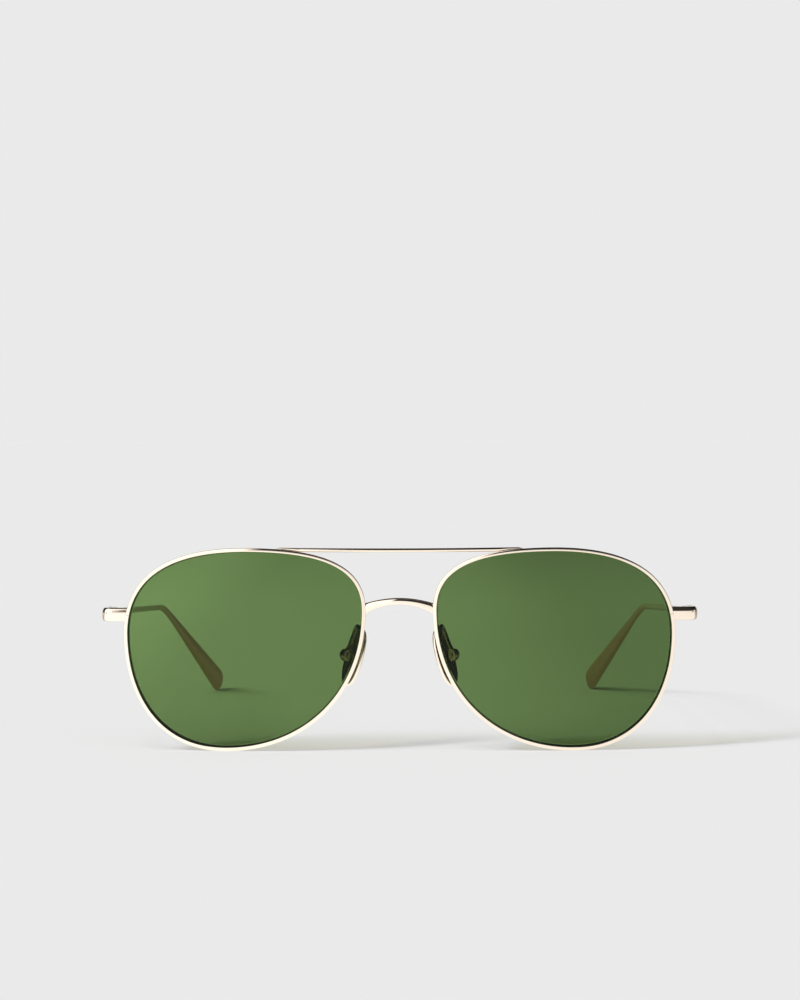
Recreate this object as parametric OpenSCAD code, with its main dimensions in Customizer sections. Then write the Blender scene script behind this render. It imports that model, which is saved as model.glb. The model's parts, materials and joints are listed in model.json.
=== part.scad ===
// Aviator sunglasses, open and standing on a table.
// X runs across the face, Y from the lenses back along the temples, Z up. Millimetres.
// Pieces are drawn on the wearer's left (+X) and mirrored for the right.

/* [Lens] */
// Boxed width of each lens
lens_w = 57; // [50:0.5:62]
// Boxed height of each lens
lens_h = 48; // [42:0.2:53]
// Nearest distance between the two lenses, over the nose
bridge_gap = 17.5; // [14:0.5:21]
// Thickness of the lens
lens_t = 1.8; // [1.5:0.1:2.4]
// Radius of the sphere that the lens is cut from
lens_r = 132; // [100:1:180]
// Highest point of the outline, from the box centre towards the temple
top_shift = -0.6; // [-4:0.1:2]
// Widest point on the temple side, above the box centre
temple_rise = 3.6; // [0:0.1:6]
// Lowest point of the outline, from the box centre towards the temple
bottom_shift = 5.1; // [2:0.1:7]
// Widest point on the nose side, above the box centre
nose_rise = 9.5; // [7:0.1:11]
// Turn of each lens back towards the temple, in degrees
wrap = 3; // [0:0.5:6]
// Forward lean of the front as it stands, in degrees
lean = 4; // [0:0.5:7]

/* [Outline corners] */
// Fullness of the upper corner at the temple, at its start and end
top_temple_full = [0.63, 0.675]; // [0.5:0.01:0.8]
// Fullness of the lower corner at the temple
bottom_temple_full = [0.535, 0.68]; // [0.5:0.01:0.8]
// Fullness of the lower corner at the nose
bottom_nose_full = [0.575, 0.595]; // [0.5:0.01:0.8]
// Fullness of the upper corner at the nose
top_nose_full = [0.74, 0.625]; // [0.5:0.01:0.8]

/* [Rim] */
// Width of the rim wire, seen from the front
rim_w = 0.9; // [0.8:0.05:1.4]
// Depth of the rim wire, front to back
rim_d = 2; // [1.8:0.1:3]
// Depth of the groove that holds the lens
groove_d = 0.4; // [0.3:0.05:0.5]
// Width of the groove at its mouth
groove_w = 1.2; // [0.8:0.1:1.5]
// Edge break along the rim
rim_chamfer = 0.2; // [0.1:0.02:0.3]
// Gap where the rim is split
split_gap = 0.16; // [0.1:0.02:0.3]

/* [Bridge and top bar] */
// Height of the nose bridge in its middle
bridge_h = 1.65; // [1.4:0.05:2.2]
// Height of the nose bridge where it meets the rims
bridge_root_h = 2.4; // [2:0.1:3]
// Depth of the nose bridge
bridge_d = 1.6; // [1.4:0.1:2]
// Rise of the nose bridge in its middle
bridge_rise = 1.8; // [0.4:0.1:3]
// Forward bow of the nose bridge
bridge_bow = 1; // [0:0.1:2]
// Height of the top bar
bar_h = 0.95; // [0.8:0.05:1.4]
// Depth of the top bar
bar_d = 1.2; // [1:0.05:1.6]
// Dip of the top bar in its middle
bar_dip = 0.2; // [0:0.05:0.6]
// Forward bow of the top bar
bar_bow = 0.9; // [0:0.1:1.5]

/* [End piece and rim lock] */
// Height of the end piece at the front
end_h = 3.25; // [2.8:0.05:3.8]
// Height of the end piece and the temple where they meet at the hinge
joint_h = 2.4; // [2:0.1:2.8]
// Thickness of the end piece
end_t = 1.4; // [1.2:0.1:1.8]
// Reach of the end piece past the rim
end_reach = 6.1; // [5.2:0.1:7]
// Bend radius of the end piece on its middle line
end_bend_r = 1.9; // [1.6:0.1:2.2]
// Distance from the rim back to the hinge axis
hinge_back = 9; // [8:0.5:13]
// Depth of the rim lock behind the end piece
lock_d = 3; // [2.6:0.1:3.4]
// Height of the rim lock, both halves together
lock_h = 2.6; // [2.2:0.1:3.2]
// Radius of the rim lock's screw
lock_screw_r = 0.45; // [0.35:0.05:0.5]

/* [Hinge] */
// Radius of the hinge knuckles
knuckle_r = 1.1; // [1:0.05:1.4]
// Height of the hinge, all three knuckles together
hinge_h = 1.9; // [1.7:0.1:2.3]
// Height of the middle knuckle, on the temple
middle_h = 0.7; // [0.5:0.05:0.8]
// Radius of the hinge screw
hinge_screw_r = 0.5; // [0.4:0.05:0.6]
// Length of each hinge leaf along the temple
leaf_len = 4; // [3.4:0.1:5]

/* [Temple] */
// Length of the straight arm, from the hinge to the bend
arm_len = 97; // [85:1:110]
// Height of the straight arm
arm_h = 1.45; // [1.2:0.05:2]
// Thickness of the straight arm
arm_t = 1.3; // [1.1:0.05:1.5]
// Length over which the arm narrows behind the hinge
arm_taper = 24; // [15:1:40]
// Fall of the straight arm towards the back, in degrees
arm_fall = 3.7; // [2:0.1:6]
// Lean of the straight arm inwards, in degrees
arm_inset = 2.9; // [0:0.1:5]
// Length from the bend to the end of the tip
tip_len = 47; // [42:1:55]
// Height of the temple at the end of the bend, where the paddle starts
bend_h = 2.1; // [1.5:0.1:3]
// Height of the paddle tip
tip_h = 6.2; // [4:0.2:7]
// Thickness of the paddle tip
tip_t = 2.3; // [1.6:0.1:2.6]
// Lean of the tip inwards, in degrees
tip_inset = 18.5; // [8:0.5:24]
// Length that the bend takes up on each side of its corner
bend_reach = 8; // [5:0.5:14]

/* [Nose pads] */
// Length of the pad
pad_len = 14.5; // [12:0.5:16]
// Width of the pad
pad_w = 7.2; // [6:0.2:8.5]
// Thickness of the pad
pad_t = 1; // [0.8:0.1:1.4]
// Distance of the pad's middle from the lens edge, outwards from the nose
pad_out = 2.3; // [1.6:0.1:3]
// Distance of the pad's middle behind the lens centre
pad_back = 7.4; // [7:0.1:9]
// Height of the pad's middle below the lens centre
pad_drop = 2.2; // [0.5:0.1:3]
// Turn of the pad's rear edge outwards, in degrees
pad_splay = 35; // [28:1:42]
// Turn of the pad's lower end outwards, in degrees
pad_flare = 18; // [10:1:24]
// Distance from the pad screw to the pad's near face
pad_axis = 1.75; // [1.65:0.05:2.1]
// Radius of the pad box
box_r = 1.5; // [1.35:0.05:1.6]
// Length of the pad box along its screw
box_len = 1.8; // [1.6:0.1:2.4]
// Thickness of the lug on the pad
lug_t = 0.7; // [0.5:0.05:0.9]
// Radius of the pad screw
pad_screw_r = 0.4; // [0.3:0.05:0.5]
// Diameter of the pad arm's wire
wire_d = 1.1; // [0.8:0.05:1.2]
// Rise of the pad arm's loop
wire_rise = 6.4; // [4:0.1:8]
// Reach of the pad arm's loop behind the rim
wire_back = 3; // [2:0.1:4]

/* [Clearances] */
// Gap between two pieces that are brazed or seated together
seat_gap = 0.02; // [0.01:0.01:0.05]
// Radial clearance of a knuckle or lug that turns on its screw
turn_gap = 0.05; // [0.02:0.01:0.08]
// Gap between faces that pass each other at a joint
pass_gap = 0.1; // [0.06:0.01:0.15]
// Gap between the lens and the groove
lens_gap = 0.06; // [0.04:0.01:0.1]

/* [Hidden] */
$fn = 48;

gold = "#e3cda4";
screw_gold = "#d8c090";
lens_green = [0.37, 0.48, 0.28, 0.8];

// Places along the outline: 0 top, 1 temple side, 2 bottom, 3 nose side, 4 top again
lock_at = 0.884;
arm_foot_at = 2.856;
bridge_at = 3.013;
bar_end_at = 3.859;
bar_free_at = 3.589;

// Outline of the lens in its own plane: x towards the temple, y up

top_pt = [top_shift, lens_h / 2];
temple_pt = [lens_w / 2, temple_rise];
bottom_pt = [bottom_shift, -lens_h / 2];
nose_pt = [-lens_w / 2, nose_rise];

// A quarter of the outline between two of its extreme points, as a cubic curve
function quarter(a, b, full, level) = level
    ? [a, a + [full[0] * (b.x - a.x), 0], b + [0, full[1] * (a.y - b.y)], b]
    : [a, a + [0, full[0] * (b.y - a.y)], b + [full[1] * (a.x - b.x), 0], b];

quarters = [
    quarter(top_pt, temple_pt, top_temple_full, true),
    quarter(temple_pt, bottom_pt, bottom_temple_full, false),
    quarter(bottom_pt, nose_pt, bottom_nose_full, true),
    quarter(nose_pt, top_pt, top_nose_full, false)
];

function cubic(p, t) =
    let (u = 1 - t)
    u * u * u * p[0] + 3 * u * u * t * p[1] + 3 * u * t * t * p[2] + t * t * t * p[3];

function cubic_slope(p, t) =
    let (u = 1 - t)
    3 * u * u * (p[1] - p[0]) + 6 * u * t * (p[2] - p[1]) + 3 * t * t * (p[3] - p[2]);

function lap(t) = t - 4 * floor(t / 4);
function edge(t) = let (u = lap(t), q = floor(u)) cubic(quarters[q], u - q);
function edge_out(t) =
    let (u = lap(t), q = floor(u), d = cubic_slope(quarters[q], u - q))
    [-d.y, d.x] / norm(d);

// From the lens plane to the standing front

function unit(v) = v / norm(v);

// Point over p in the lens plane, on the sphere that lies depth behind the middle of the lens
function on_lens(p, depth) =
    let (fall = sqrt(lens_r * lens_r - p.x * p.x - p.y * p.y))
    [0, lens_r, 0] + (1 - depth / lens_r) * [p.x, -fall, p.y];

lens_x = bridge_gap / 2 + lens_w / 2 * cos(wrap) + on_lens(nose_pt, 0).y * sin(wrap);

function wrapped(v) = [lens_x + v.x * cos(wrap) - v.y * sin(wrap), v.x * sin(wrap) + v.y * cos(wrap), v.z];
function leaned(v) = [v.x, v.y * cos(lean) - v.z * sin(lean), v.y * sin(lean) + v.z * cos(lean)];

// Rim section: outwards from the lens edge, and back from the middle of the lens
rim_in = -(groove_d - lens_gap);
rim_out = rim_in + rim_w;
rim_back = rim_d / 2;
rim_profile = [
    [rim_in, -groove_w / 2],
    [rim_in + groove_d, 0],
    [rim_in, groove_w / 2],
    [rim_in, rim_back],
    [rim_out - rim_chamfer, rim_back],
    [rim_out, rim_back - rim_chamfer],
    [rim_out, rim_chamfer - rim_back],
    [rim_out - rim_chamfer, -rim_back],
    [rim_in + rim_chamfer / 2, -rim_back],
    [rim_in, rim_chamfer / 2 - rim_back]
];

// Height at which the lowest point of the rim meets the table
outline_step = 0.05;
lens_z = -min([
    for (t = [1.5:outline_step:2.5], q = rim_profile)
    leaned(wrapped(on_lens(edge(t) + q.x * edge_out(t), q.y))).z
]);

// Point on the front: t along the outline, out from the lens edge, depth behind the lens
function front_pt(p, depth) = leaned(wrapped(on_lens(p, depth))) + [0, 0, lens_z];
function rim_pt(t, out, depth) = front_pt(edge(t) + out * edge_out(t), depth);
function rim_normal(t) = unit(rim_pt(t, rim_out + 1, 0) - rim_pt(t, rim_out, 0));

// Moves p along a direction on to the plane through a point with a normal
function slid(p, along, point, normal) = p + along * ((point - p) * normal) / (along * normal);

// Where the main pieces lie

lock_pt = rim_pt(lock_at, rim_out, 0);
end_x = lock_pt.x + end_reach - end_t / 2;
end_y = lock_pt.y - (rim_d - end_t) / 2;
end_inner_x = end_x - end_t / 2;

hinge_x = end_inner_x - pass_gap - knuckle_r;
hinge_y = lock_pt.y + hinge_back;
hinge_z = lock_pt.z;

arm_start = [end_x, hinge_y + pass_gap / 2, hinge_z];
arm_dir = [-sin(arm_inset) * cos(arm_fall), cos(arm_inset) * cos(arm_fall), -sin(arm_fall)];
bend_pt = arm_start + arm_len * arm_dir;

// The tip falls just far enough for its blunt end to stand on the table
tip_power = 3.4;
tip_round = tip_h / 2;
function blunt_reach(along, across) =
    let (q = tip_power / (tip_power - 1))
    tip_round * pow(pow(along, q) + pow(across, q), 1 / q);
function settled(fall, steps) = steps == 0
    ? fall
    : settled(asin((bend_pt.z - blunt_reach(sin(fall), cos(fall))) / (tip_len - tip_round)), steps - 1);
tip_fall = settled(arm_fall, 6);
tip_dir = [-sin(tip_inset) * cos(tip_fall), cos(tip_inset) * cos(tip_fall), -sin(tip_fall)];
tip_pt = bend_pt + tip_len * tip_dir;

// The origin is on the table, midway between the foremost point of the lenses and the ends of the tips
front_y = lens_r * (cos(wrap) * cos(lean) - 1) - lens_t / 2;
tip_centre = tip_pt - tip_round * tip_dir;
rear_y = tip_centre.y + blunt_reach(tip_dir.y, sin(tip_fall) * cos(tip_inset));
mid_y = (front_y + rear_y) / 2;

pad_pt = [bridge_gap / 2 + pad_out, pad_back, lens_z - pad_drop];

// Turns a list of rings of points into one closed solid, with a point at each end where poles are given
module loft(rings, poles = []) {
    count = len(rings[0]);
    last = (len(rings) - 1) * count;
    total = last + count;
    walls = [
        for (base = [0:count:last - 1], j = [0:count - 1])
        let (k = (j + 1) % count)
        each [
            [base + j, base + count + k, base + k],
            [base + j, base + count + j, base + count + k]
        ]
    ];
    ends = len(poles) == 2
        ? [
            for (j = [0:count - 1])
            let (k = (j + 1) % count)
            each [[total, j, k], [total + 1, last + k, last + j]]
        ]
        : [[for (j = [0:count - 1]) j], [for (j = [count - 1:-1:0]) last + j]];
    polyhedron(concat([for (r = rings) each r], poles), concat(walls, ends), convexity = 8);
}

// Rounded section: power 2 is an ellipse, higher powers are squarer
function section(w, h, power, sides) = [
    for (j = [0:sides - 1])
    let (a = -360 * j / sides, c = cos(a), s = sin(a))
    [sign(c) * pow(abs(c), 2 / power) * w / 2, sign(s) * pow(abs(s), 2 / power) * h / 2]
];

// The section set up across a path at a point, its first axis pointing to the side
function ring_at(point, dir, shape) =
    let (side = unit(cross(dir, [0, 0, 1])), up = cross(side, dir))
    [for (q = shape) point + q.x * side + q.y * up];

function smooth(t) = let (u = max(0, min(1, t))) u * u * (3 - 2 * u);
function blend(a, b, t) = a + (b - a) * t;

module placed() {
    translate([0, -mid_y, 0]) children();
}

module other_side() {
    mirror([1, 0, 0]) children();
}

// Rim: a grooved wire that runs from one side of the split round to the other
rim_rings = 88;

module rim() {
    half_split = split_gap / 2 / norm(cubic_slope(quarters[0], lock_at));
    run = 4 - 2 * half_split;
    color(gold) loft([
        for (i = [0:rim_rings])
        let (t = lock_at + half_split + run * i / rim_rings)
        [for (q = rim_profile) rim_pt(t, q.x, q.y)]
    ]);
}

// Lens: two concentric spherical faces and a bevelled edge that sits in the groove
lens_points = 88;
cap_steps = [0.3, 0.6, 0.85, 1];

module lens() {
    body = rim_in - lens_gap;
    bevel = groove_w / 2 - lens_gap;
    face = lens_t / 2;
    params = [for (i = [0:lens_points - 1]) lock_at + 4 * i / lens_points];
    front = [
        for (s = cap_steps)
        [for (t = params) front_pt(s * (edge(t) + body * edge_out(t)), -face)]
    ];
    rear = [
        for (s = cap_steps)
        [for (t = params) front_pt(s * (edge(t) + body * edge_out(t)), face)]
    ];
    bevels = [
        for (q = [[body, -bevel], [0, 0], [body, bevel]])
        [for (t = params) rim_pt(t, q.x, q.y)]
    ];
    last = len(rear) - 1;
    color(lens_green) loft(
        concat(front, bevels, [for (i = [last:-1:0]) rear[i]]),
        [front_pt([0, 0], -face), front_pt([0, 0], face)]
    );
}

// Nose bridge: an arched bar that flares where it meets the rims
bridge_rings = 20;
bar_power = 2.2;

module nose_bridge() {
    root = rim_pt(bridge_at, rim_out, 0);
    out = rim_normal(bridge_at);
    color(gold) loft([
        for (i = [-bridge_rings / 2:bridge_rings / 2])
        let (
            s = 2 * i / bridge_rings,
            arch = 1 - s * s,
            point = [s * root.x, root.y - bridge_bow * arch, root.z + bridge_rise * arch],
            dir = unit([root.x, 2 * bridge_bow * s, -2 * bridge_rise * s]),
            h = blend(bridge_h, bridge_root_h, s * s),
            ring = ring_at(point, dir, section(bridge_d, h, bar_power, 16)),
            seat = [sign(s) * (root.x + seat_gap * out.x), root.y, root.z],
            normal = [sign(s) * out.x, out.y, out.z]
        )
        abs(s) == 1 ? [for (p = ring) slid(p, dir, seat, normal)] : ring
    ]);
}

// Top bar: a round bar whose ends thin out along the tops of the rims
bar_end_rings = 6;
bar_mid_rings = 8;
bar_end_h = 0.4;

module top_bar() {
    end = rim_pt(bar_end_at, rim_out, 0);
    free = rim_pt(bar_free_at, rim_out, 0);
    // Each ring is given by its distance from the middle and the height of the rim below it
    ends = [
        for (i = [0:bar_end_rings])
        let (p = rim_pt(blend(bar_end_at, bar_free_at, i / bar_end_rings), rim_out, rim_chamfer - rim_back))
        [p.x, p.z + seat_gap]
    ];
    mids = [for (i = [bar_mid_rings - 1:-1:1]) [free.x * i / bar_mid_rings, 0]];
    half = concat(ends, mids);
    count = len(half);
    stations = concat(
        [for (q = half) [-q.x, q.y]],
        [[0, 0]],
        [for (i = [count - 1:-1:0]) half[i]]
    );
    color(gold) loft([
        for (q = stations)
        let (
            s = q.x / end.x,
            top = end.z + bar_end_h - bar_dip * (1 - s * s),
            low = max(top - bar_h, q.y),
            point = [q.x, end.y - bar_bow * (1 - s * s), (top + low) / 2]
        )
        ring_at(point, [1, 0, 0], section(bar_d, top - low, bar_power, 12))
    ]);
}

// End piece: a rounded strip that leaves the rim sideways, turns back and gets lower towards the hinge
end_power = 2.4;

module end_piece() {
    shape = section(end_t, end_h, end_power, 16);
    out = rim_normal(lock_at);
    start = [lock_pt.x, end_y, hinge_z];
    root = ring_at(start, [1, 0, 0], shape);
    centre = [end_x - end_bend_r, end_y + end_bend_r, hinge_z];
    turn = [
        for (a = [0:15:90])
        ring_at(centre + end_bend_r * [sin(a), -cos(a), 0], [cos(a), sin(a), 0], shape)
    ];
    rear_shape = section(end_t, joint_h, end_power, 16);
    rear = ring_at([end_x, hinge_y - pass_gap / 2, hinge_z], [0, 1, 0], rear_shape);
    color(gold) loft(concat(
        [[for (p = root) slid(p, [1, 0, 0], lock_pt + seat_gap * out, out)]],
        turn,
        [rear]
    ));
}

// Rim lock: two blocks behind the end piece, one on each side of the split, and their screw
head_ratio = 1.7;
inner_side = end_inner_x - seat_gap;
lock_front = end_y + end_t / 2 + seat_gap;
lock_screw_x = lock_pt.x + (inner_side - lock_pt.x) / 2;
lock_screw_y = lock_front + lock_d / 2;
lock_head_r = head_ratio * lock_screw_r;
lock_head_h = 0.35;

// Everything outside the face of the rim at the split
module outside_rim() {
    out = rim_normal(lock_at);
    size = 4 * (end_reach + lock_d);
    translate(lock_pt + seat_gap * out)
        rotate([0, -asin(out.z), atan2(out.y, out.x)])
            translate([0, -size / 2, -size / 2]) cube(size);
}

// Plan of the blocks, with the corner cut off that lies in the bend of the end piece
module lock_plan() {
    cut = end_bend_r - end_t / 2;
    inner = lock_pt.x - rim_w;
    polygon([
        [inner, lock_front],
        [inner_side - cut, lock_front],
        [inner_side, lock_front + cut],
        [inner_side, lock_front + lock_d],
        [inner, lock_front + lock_d]
    ]);
}

module lock_block(low, high, bore_r) {
    difference() {
        intersection() {
            translate([0, 0, hinge_z + low]) linear_extrude(high - low) lock_plan();
            outside_rim();
        }
        translate([lock_screw_x, lock_screw_y, hinge_z + low - 1])
            cylinder(r = bore_r, h = high - low + 2);
        children();
    }
}

module rim_lock_upper() {
    color(gold) lock_block(split_gap / 2, lock_h / 2, lock_screw_r + seat_gap);
}

module rim_lock_lower() {
    color(gold) lock_block(-lock_h / 2, -split_gap / 2, lock_screw_r + turn_gap)
        translate([lock_screw_x, lock_screw_y, hinge_z - lock_h / 2 - 1])
            cylinder(r = lock_head_r + turn_gap, h = lock_head_h + seat_gap + 1);
}

// Slotted screw along +Z, its head down, with the under side of the head at z = 0
module slotted_screw(shank_r, shank_len, head_r, head_h) {
    slot_w = 0.35 * head_r;
    slot_d = 0.45 * head_h;
    difference() {
        union() {
            cylinder(r = shank_r, h = shank_len);
            translate([0, 0, -head_h]) cylinder(r = head_r, h = head_h);
        }
        translate([-2 * head_r, -slot_w / 2, -head_h - 1]) cube([4 * head_r, slot_w, slot_d + 1]);
    }
}

module rim_lock_screw() {
    low = hinge_z - lock_h / 2 + lock_head_h;
    color(screw_gold)
        translate([lock_screw_x, lock_screw_y, low])
            slotted_screw(lock_screw_r, lock_h - lock_head_h, lock_head_r, lock_head_h);
}

// Hinge: a leaf on the end piece with two knuckles, a leaf on the temple with the middle one, and a screw
leaf_t = 0.9;
hinge_head_h = 0.3;
hinge_head_r = head_ratio * hinge_screw_r;

// A strip along the inner side of the end piece or temple, from near to far of the hinge axis. The temple
// runs inwards, so its strips take the same slant.
module strip(width, near, far, low, high, toward, slant) {
    outline = [
        for (p = [[width, near], [0, near], [0, far], [width, far]])
        [inner_side - p.x - p.y * tan(slant), hinge_y + toward * p.y]
    ];
    translate([0, 0, low]) linear_extrude(height = high - low) polygon(outline);
}

module knuckle(low, high, bore_r, toward, slant) {
    far = knuckle_r + pass_gap + leaf_t;
    difference() {
        union() {
            translate([hinge_x, hinge_y, low]) cylinder(r = knuckle_r, h = high - low);
            strip(inner_side - hinge_x, 0, far, low, high, toward, slant);
        }
        translate([hinge_x, hinge_y, low - 1]) cylinder(r = bore_r, h = high - low + 2);
    }
}

module leaf(low, high, toward, slant) {
    strip(leaf_t, knuckle_r + pass_gap, leaf_len, low, high, toward, slant);
}

module front_hinge() {
    gap = middle_h / 2 + pass_gap / 2;
    low = hinge_z - hinge_h / 2;
    high = hinge_z + hinge_h / 2;
    color(gold) union() {
        leaf(low, high, -1, 0);
        knuckle(hinge_z + gap, high, hinge_screw_r + seat_gap, -1, 0);
        knuckle(low, hinge_z - gap, hinge_screw_r + seat_gap, -1, 0);
    }
}

module temple_hinge() {
    low = hinge_z - hinge_h / 2;
    high = hinge_z + hinge_h / 2 - leaf_len * tan(arm_fall);
    color(gold) union() {
        leaf(low, high, 1, arm_inset);
        knuckle(hinge_z - middle_h / 2, hinge_z + middle_h / 2, hinge_screw_r + turn_gap, 1, arm_inset);
    }
}

module hinge_screw() {
    color(screw_gold)
        translate([hinge_x, hinge_y, hinge_z - hinge_h / 2 - seat_gap])
            slotted_screw(hinge_screw_r, hinge_h, hinge_head_r, hinge_head_h);
}

// Temple: a thin arm that narrows behind the hinge, bends down and widens into a paddle
temple_sides = 14;
temple_power = 2.6;
bend_steps = 7;
tip_steps = 7;
end_steps = 4;
end_angle = 84;

function bend_curve(t) =
    (1 - t) * (1 - t) * (bend_pt - bend_reach * arm_dir)
    + 2 * t * (1 - t) * bend_pt
    + t * t * (bend_pt + bend_reach * tip_dir);

module temple() {
    swell = tip_len - bend_reach - tip_round;
    arm_rest = arm_len - bend_reach;
    // Each station holds a point, the direction there, and the height and thickness of the section
    narrowing = [
        for (u = [0:0.125:1])
        let (k = smooth(u))
        [arm_start + u * arm_taper * arm_dir, arm_dir, blend(joint_h, arm_h, k), blend(end_t, arm_t, k)]
    ];
    straight = [
        for (u = [0.5, 1])
        [arm_start + blend(arm_taper, arm_rest, u) * arm_dir, arm_dir, arm_h, arm_t]
    ];
    bend = [
        for (i = [1:bend_steps])
        let (t = i / bend_steps)
        [bend_curve(t), unit(blend(arm_dir, tip_dir, t)), blend(arm_h, bend_h, t), arm_t]
    ];
    paddle = [
        for (i = [1:tip_steps])
        let (u = i / tip_steps)
        [
            bend_pt + (bend_reach + u * swell) * tip_dir,
            tip_dir,
            blend(bend_h, tip_h, u),
            blend(arm_t, tip_t, u)
        ]
    ];
    rounding = [
        for (i = [1:end_steps])
        let (
            a = end_angle * i / end_steps,
            along = pow(sin(a), 2 / tip_power),
            across = pow(cos(a), 2 / tip_power)
        )
        [tip_pt - tip_round * (1 - along) * tip_dir, tip_dir, tip_h * across, tip_t * sqrt(across)]
    ];
    stations = concat(narrowing, straight, bend, paddle, rounding);
    color(gold) loft([
        for (i = [0:len(stations) - 1])
        let (
            s = stations[i],
            power = i == 0 ? end_power : temple_power,
            ring = ring_at(s[0], s[1], section(s[3], s[2], power, temple_sides))
        )
        i == 0 ? [for (p = ring) slid(p, arm_dir, arm_start, [0, 1, 0])] : ring
    ]);
}

// Nose pads. In the pad's own frame x runs along its screw to the back, y along the pad upwards,
// z away from the nose, with the origin on the screw.
module on_pad() {
    translate(pad_pt)
        rotate([0, 0, -pad_splay]) rotate([0, -pad_flare, 0]) rotate([90, 0, 90])
            translate([0, 0, pad_axis + pad_t / 2]) children();
}

// The same turn for a point
function pad_turned(v) =
    let (
        a = [v.z, v.x, v.y],
        b = [a.x * cos(pad_flare) - a.z * sin(pad_flare), a.y, a.x * sin(pad_flare) + a.z * cos(pad_flare)]
    )
    [b.x * cos(pad_splay) + b.y * sin(pad_splay), b.y * cos(pad_splay) - b.x * sin(pad_splay), b.z];
function pad_world(v) = pad_pt + pad_turned(v + [0, 0, pad_axis + pad_t / 2]);

lug_r = pad_screw_r + 0.35;
box_wall = 0.4;
box_slot = lug_t + 2 * pass_gap;
pad_head_h = 0.35;
pad_power = 2.3;
pad_head_r = head_ratio * pad_screw_r;

module nose_pad() {
    // Rim of the pad from its near face to its flat contact face: shrink of the outline and height
    layers = [[0.35, 0], [0.1, 0.2], [0, 0.5], [0.1, 0.8], [0.35, 1]];
    color(gold) on_pad() union() {
        loft([
            for (q = layers)
            [
                for (p = section(pad_w - 2 * q.x, pad_len - 2 * q.x, pad_power, 32))
                [p.x, p.y, -pad_axis - q.y * pad_t]
            ]
        ]);
        difference() {
            union() {
                rotate([0, 90, 0]) translate([0, 0, -lug_t / 2]) cylinder(r = lug_r, h = lug_t);
                translate([-lug_t / 2, -lug_r, -pad_axis - pad_t / 2])
                    cube([lug_t, 2 * lug_r, pad_axis + pad_t / 2]);
            }
            rotate([0, 90, 0]) translate([0, 0, -lug_t]) cylinder(r = pad_screw_r + turn_gap, h = 2 * lug_t);
        }
    }
}

// Pad box: a round drum about the screw, open below and towards the pad for the lug
module pad_box() {
    deep = box_r - box_wall;
    color(gold) on_pad() difference() {
        rotate([0, 90, 0]) translate([0, 0, -box_len / 2]) cylinder(r = box_r, h = box_len);
        translate([-box_slot / 2, -2 * box_r, -2 * box_r])
            cube([box_slot, 2 * box_r + deep, 2 * box_r + deep]);
        rotate([0, 90, 0]) translate([0, 0, -box_len]) cylinder(r = pad_screw_r + seat_gap, h = 2 * box_len);
    }
}

module pad_screw() {
    color(screw_gold) on_pad()
        translate([-box_len / 2 - seat_gap, 0, 0]) rotate([0, 90, 0])
            slotted_screw(pad_screw_r, box_len, pad_head_r, pad_head_h);
}

// Pad arm: a looped wire from the back of the rim to the top of the pad box
arm_rings = 18;
wire_tuck = 0.15;

module pad_arm() {
    foot = rim_pt(arm_foot_at, (rim_in + rim_out) / 2, rim_back);
    back = unit(rim_pt(arm_foot_at, 0, 1) - rim_pt(arm_foot_at, 0, 0));
    seat = pad_world([0, box_r + seat_gap, 0]);
    up = pad_turned([0, 1, 0]);
    away = pad_turned([0, 0, 1]);
    route = [
        foot + seat_gap * back,
        foot + wire_back * back + [0, 0, wire_rise],
        seat + wire_rise * (up - wire_tuck * away),
        seat
    ];
    color(gold) loft([
        for (i = [0:arm_rings])
        let (
            t = i / arm_rings,
            point = cubic(route, t),
            dir = unit(cubic_slope(route, t)),
            ring = ring_at(point, dir, section(wire_d, wire_d, 2, 10))
        )
        i == 0 ? [for (p = ring) slid(p, dir, route[0], back)]
            : i == arm_rings ? [for (p = ring) slid(p, dir, seat, up)] : ring
    ]);
}

placed() rim();  // left_rim
placed() other_side() rim();  // right_rim
placed() lens();  // left_lens
placed() other_side() lens();  // right_lens
placed() nose_bridge();
placed() top_bar();
placed() end_piece();  // left_end_piece
placed() other_side() end_piece();  // right_end_piece
placed() rim_lock_upper();  // left_rim_lock_upper
placed() other_side() rim_lock_upper();  // right_rim_lock_upper
placed() rim_lock_lower();  // left_rim_lock_lower
placed() other_side() rim_lock_lower();  // right_rim_lock_lower
placed() rim_lock_screw();  // left_rim_lock_screw
placed() other_side() rim_lock_screw();  // right_rim_lock_screw
placed() front_hinge();  // left_front_hinge
placed() other_side() front_hinge();  // right_front_hinge
placed() hinge_screw();  // left_hinge_screw
placed() other_side() hinge_screw();  // right_hinge_screw
placed() temple_hinge();  // left_temple_hinge
placed() other_side() temple_hinge();  // right_temple_hinge
placed() temple();  // left_temple
placed() other_side() temple();  // right_temple
placed() pad_arm();  // left_pad_arm
placed() other_side() pad_arm();  // right_pad_arm
placed() pad_box();  // left_pad_box
placed() other_side() pad_box();  // right_pad_box
placed() pad_screw();  // left_pad_screw
placed() other_side() pad_screw();  // right_pad_screw
placed() nose_pad();  // left_nose_pad
placed() other_side() nose_pad();  // right_nose_pad
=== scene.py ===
import json
import math

import bmesh
import bpy
import numpy as np
from mathutils import Matrix, Vector


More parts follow.
